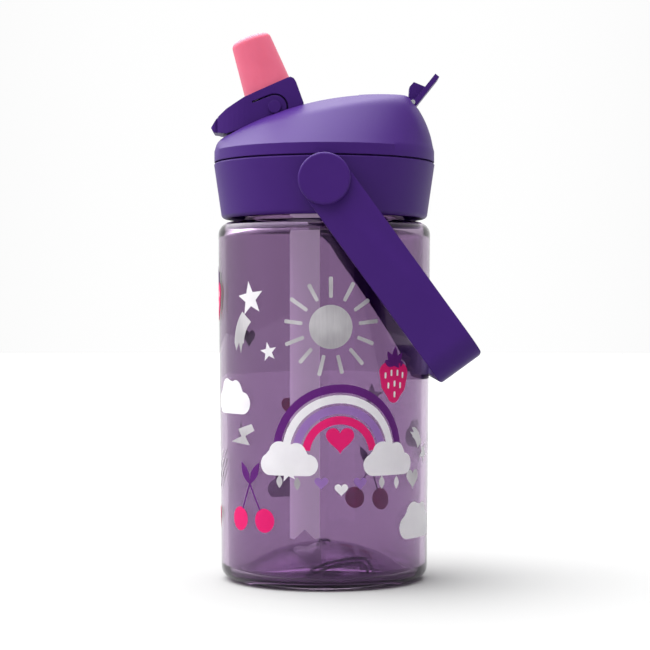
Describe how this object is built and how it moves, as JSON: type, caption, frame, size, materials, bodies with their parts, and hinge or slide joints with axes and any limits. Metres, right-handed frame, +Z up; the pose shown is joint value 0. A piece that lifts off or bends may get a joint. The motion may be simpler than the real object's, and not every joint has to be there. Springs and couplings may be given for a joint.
{
  "type": "water bottle",
  "caption": "Small clear water bottle with a domed screw cap, flip-up soft spout on a straw, vent flap and swinging bail handle.",
  "frame": {"origin": "centre of the plane the bottle stands on, on the bottle's axis", "axes": "+Z up the bottle's axis; -X is the front, towards which the open spout leans; the handle hangs at +X and turns about an axis along Y"},
  "size_m": [0.091, 0.0882, 0.1901],
  "materials": {
    "clear_shell": "clear tinted copolyester, glossy, purple",
    "cap_plastic": "moulded polypropylene, deep purple, fine satin texture",
    "spout_silicone": "soft silicone, pink, satin",
    "seal_silicone": "translucent white silicone",
    "smoke_plastic": "translucent grey polypropylene",
    "pin_steel": "ground stainless steel"
  },
  "bodies": {
    "bottle": {"bottle_body": "clear_shell"},
    "cap_seal": {"cap_gasket": "seal_silicone"},
    "cap": {"cap_base": "cap_plastic", "cap_dome": "cap_plastic", "port_seal": "seal_silicone", "vent_valve": "seal_silicone", "straw_adapter": "smoke_plastic", "straw": "smoke_plastic", "pivot_cap_left": "cap_plastic", "pivot_cap_right": "cap_plastic", "flap_pin": "pin_steel"},
    "spout": {"spout_carrier": "cap_plastic", "bite_spout": "spout_silicone"},
    "handle": {"handle": "cap_plastic"},
    "flap": {"vent_flap": "cap_plastic"}
  },
  "joints": [
    {"name": "thread_climb", "type": "slide", "parent": "bottle", "child": "cap_seal", "axis": [0, 0, 1], "range_m": [0, 0.00564]},
    {"name": "cap_turn", "type": "hinge", "parent": "cap_seal", "child": "cap", "pos_m": [0, 0, 0.1395], "axis": [0, 0, 1], "range_deg": [0, 450]},
    {"name": "handle_swing", "type": "hinge", "parent": "cap", "child": "handle", "pos_m": [0, 0, 0.136], "axis": [0, -1, 0], "range_deg": [0, 287.6]},
    {"name": "spout_flip", "type": "hinge", "parent": "cap", "child": "spout", "pos_m": [-0.0171, 0, 0.1631], "axis": [0, 1, 0], "range_deg": [0, 110]},
    {"name": "flap_turn", "type": "hinge", "parent": "cap", "child": "flap", "pos_m": [0.0306, 0, 0.165], "axis": [0, -1, 0], "range_deg": [0, 128.5]}
  ],
  "couplings": [
    {"joint": "thread_climb", "follows": "cap_turn", "m_per_rad": 0.0007162}
  ]
}
